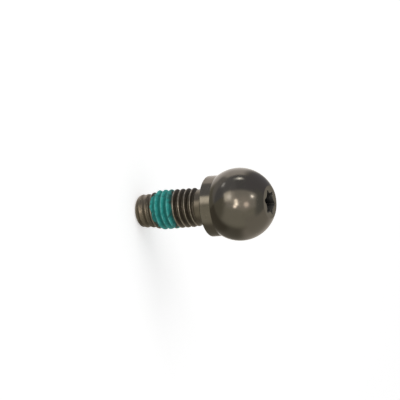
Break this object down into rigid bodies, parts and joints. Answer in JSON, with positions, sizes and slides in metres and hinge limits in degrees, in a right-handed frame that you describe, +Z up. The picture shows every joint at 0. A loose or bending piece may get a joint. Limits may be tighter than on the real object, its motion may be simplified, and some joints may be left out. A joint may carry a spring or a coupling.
{
  "type": "threaded ball stud",
  "caption": "Steel ball stud: a ball with a six-lobe socket in its crown, a collar below it, and a screw-threaded shank with a thread-locking film and a plain pilot tip.",
  "frame": {"origin": "centre of the flat end of the tip, which the stud stands on", "axes": "+Z up along the stud's axis, from the tip to the ball; X and Y across it, the drive's lobes standing at 21 degrees from +X"},
  "size_m": [0.0144, 0.0144, 0.0281],
  "materials": {
    "stud_steel": "dark polished steel, lightly oiled",
    "thread_lock_film": "dried matt teal film"
  },
  "bodies": {
    "root": {"stud": "stud_steel", "thread_lock_patch": "thread_lock_film"}
  },
  "joints": []
}
